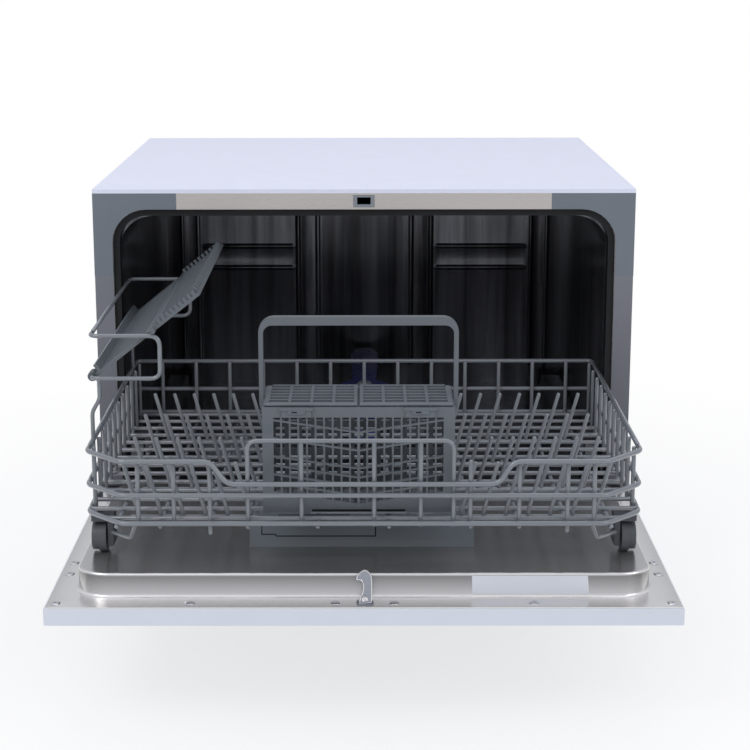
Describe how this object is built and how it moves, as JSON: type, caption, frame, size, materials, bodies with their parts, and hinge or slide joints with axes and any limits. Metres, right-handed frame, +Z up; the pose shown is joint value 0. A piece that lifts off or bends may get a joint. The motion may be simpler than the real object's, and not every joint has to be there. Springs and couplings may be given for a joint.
{
  "type": "dishwasher",
  "caption": "Countertop dishwasher with its drop door open and its wire rack rolled out on four wheels, cutlery basket, tilting cup shelf and spray arm",
  "frame": {"origin": "middle of the bounding box in X and Y, on the counter plane under the feet", "axes": "+X to the right of a person who stands in front, +Y to the back, +Z up; the open door points to -Y"},
  "size_m": [0.55, 0.838, 0.438],
  "materials": {
    "white_sheet": "satin white enamel on sheet",
    "inner_sheet": "galvanised sheet",
    "frame_steel": "brushed stainless",
    "strip_steel": "brushed stainless, long grain",
    "tub_steel": "bright pressed stainless",
    "cover_grey": "blue grey plastic",
    "white_plastic": "white door plastic",
    "black_rubber": "black seal",
    "dark_plastic": "dark grey plastic",
    "pale_plastic": "natural plastic",
    "disp_grey": "slate grey plastic",
    "lid_grey": "slate grey plastic",
    "cap_grey": "mid grey plastic",
    "button_white": "white button",
    "display_black": "smoked window",
    "hook_steel": "plated steel",
    "hinge_steel": "bare steel",
    "coated_wire": "grey nylon coat on steel wire",
    "basket_grey": "grey basket plastic",
    "shelf_grey": "grey shelf plastic",
    "wheel_grey": "dark grey wheel plastic",
    "arm_blue": "navy spray arm plastic"
  },
  "bodies": {
    "cabinet": {"top_panel": "white_sheet", "side_panel_left": "white_sheet", "side_panel_right": "white_sheet", "back_panel": "inner_sheet", "base_pan": "inner_sheet", "foot_front_left": "dark_plastic", "foot_front_right": "dark_plastic", "foot_rear_left": "dark_plastic", "foot_rear_right": "dark_plastic", "kick_plate": "white_sheet", "front_frame": "frame_steel", "corner_cover_left": "cover_grey", "corner_cover_right": "cover_grey", "latch_strip": "strip_steel", "latch_bezel": "cap_grey", "door_gasket": "black_rubber", "tub_wrap": "tub_steel", "tub_floor_pan": "tub_steel", "tub_rear_wall": "tub_steel", "sump_bowl": "dark_plastic", "spray_hub": "cap_grey", "softener_tank": "pale_plastic", "wash_pump": "dark_plastic", "drain_pump": "dark_plastic", "inlet_valve": "pale_plastic", "drain_spigot": "dark_plastic", "cord_gland": "dark_plastic", "door_shell": "white_plastic", "control_panel": "white_plastic", "door_inner_panel": "strip_steel", "latch_hook": "hook_steel", "hinge_arms": "hinge_steel", "dispenser_body": "disp_grey", "display_window": "display_black"},
    "rack": {"rack_floor": "coated_wire", "rack_front_wall": "coated_wire", "rack_rear_wall": "coated_wire", "rack_left_wall": "coated_wire", "rack_right_wall": "coated_wire", "tines_left": "coated_wire", "tines_right": "coated_wire", "wheel_mounts": "dark_plastic", "shelf_bracket": "coated_wire", "basket_body": "basket_grey"},
    "wheel_fl": {"wheel_front_left": "wheel_grey"},
    "wheel_fr": {"wheel_front_right": "wheel_grey"},
    "wheel_rl": {"wheel_rear_left": "wheel_grey"},
    "wheel_rr": {"wheel_rear_right": "wheel_grey"},
    "shelf": {"cup_shelf": "shelf_grey"},
    "lid_left": {"basket_lid_left": "basket_grey"},
    "lid_right": {"basket_lid_right": "basket_grey"},
    "handle": {"basket_handle": "basket_grey"},
    "spray": {"spray_arm": "arm_blue"},
    "filter": {"filter_cup": "dark_plastic"},
    "salt": {"salt_cap": "cap_grey"},
    "soap_lid": {"detergent_lid": "lid_grey"},
    "rinse": {"rinse_cap": "cap_grey"},
    "key_power": {"button_power": "button_white"},
    "key_program": {"button_program": "button_white"},
    "key_start": {"button_start": "button_white"}
  },
  "joints": [
    {"name": "rack_slide", "type": "slide", "parent": "cabinet", "child": "rack", "axis": [0, 1, 0], "range_m": [0, 0.358]},
    {"name": "wheel_spin_fl", "type": "hinge", "parent": "rack", "child": "wheel_fl", "pos_m": [-0.2385, -0.323, 0.1568], "axis": [1, 0, 0], "continuous": true},
    {"name": "wheel_spin_fr", "type": "hinge", "parent": "rack", "child": "wheel_fr", "pos_m": [0.2385, -0.323, 0.1568], "axis": [1, 0, 0], "continuous": true},
    {"name": "wheel_spin_rl", "type": "hinge", "parent": "rack", "child": "wheel_rl", "pos_m": [-0.2385, -0.055, 0.1568], "axis": [1, 0, 0], "continuous": true},
    {"name": "wheel_spin_rr", "type": "hinge", "parent": "rack", "child": "wheel_rr", "pos_m": [0.2385, -0.055, 0.1568], "axis": [1, 0, 0], "continuous": true},
    {"name": "shelf_fold", "type": "hinge", "parent": "rack", "child": "shelf", "pos_m": [-0.2437, -0.18, 0.3005], "axis": [0, -1, 0], "range_deg": [0, 15]},
    {"name": "lid_left_open", "type": "hinge", "parent": "rack", "child": "lid_left", "pos_m": [-0.0455, -0.3597, 0.2884], "axis": [1, 0, 0], "range_deg": [0, 100]},
    {"name": "lid_right_open", "type": "hinge", "parent": "rack", "child": "lid_right", "pos_m": [0.0365, -0.3597, 0.2884], "axis": [1, 0, 0], "range_deg": [0, 100]},
    {"name": "handle_fold", "type": "hinge", "parent": "rack", "child": "handle", "pos_m": [-0.0045, -0.3255, 0.2746], "axis": [-1, 0, 0], "range_deg": [0, 80]},
    {"name": "spray_spin", "type": "hinge", "parent": "cabinet", "child": "spray", "pos_m": [0, 0.139, 0.173], "axis": [0, 0, 1], "continuous": true},
    {"name": "filter_twist", "type": "hinge", "parent": "cabinet", "child": "filter", "pos_m": [0, 0.097, 0.12], "axis": [0, 0, 1], "range_deg": [0, 90]},
    {"name": "salt_cap_turn", "type": "hinge", "parent": "cabinet", "child": "salt", "pos_m": [-0.15, 0.037, 0.13], "axis": [0, 0, 1], "range_deg": [0, 180]},
    {"name": "soap_lid_slide", "type": "slide", "parent": "cabinet", "child": "soap_lid", "axis": [0, 1, 0], "range_m": [0, 0.055]},
    {"name": "rinse_cap_turn", "type": "hinge", "parent": "cabinet", "child": "rinse", "pos_m": [0.053, -0.274, 0.165], "axis": [0, 0, 1], "range_deg": [0, 90]},
    {"name": "power_press", "type": "slide", "parent": "cabinet", "child": "key_power", "axis": [0, 0, 1], "range_m": [0, 0.0015], "stiffness_N_per_m": 300, "springref_m": -0.002},
    {"name": "program_press", "type": "slide", "parent": "cabinet", "child": "key_program", "axis": [0, 0, 1], "range_m": [0, 0.0015], "stiffness_N_per_m": 300, "springref_m": -0.002},
    {"name": "start_press", "type": "slide", "parent": "cabinet", "child": "key_start", "axis": [0, 0, 1], "range_m": [0, 0.0015], "stiffness_N_per_m": 300, "springref_m": -0.002}
  ],
  "couplings": [
    {"joint": "wheel_spin_fl", "follows": "rack_slide", "rad_per_m": -68.966},
    {"joint": "wheel_spin_fr", "follows": "rack_slide", "rad_per_m": -68.966},
    {"joint": "wheel_spin_rl", "follows": "rack_slide", "rad_per_m": -68.966},
    {"joint": "wheel_spin_rr", "follows": "rack_slide", "rad_per_m": -68.966}
  ]
}
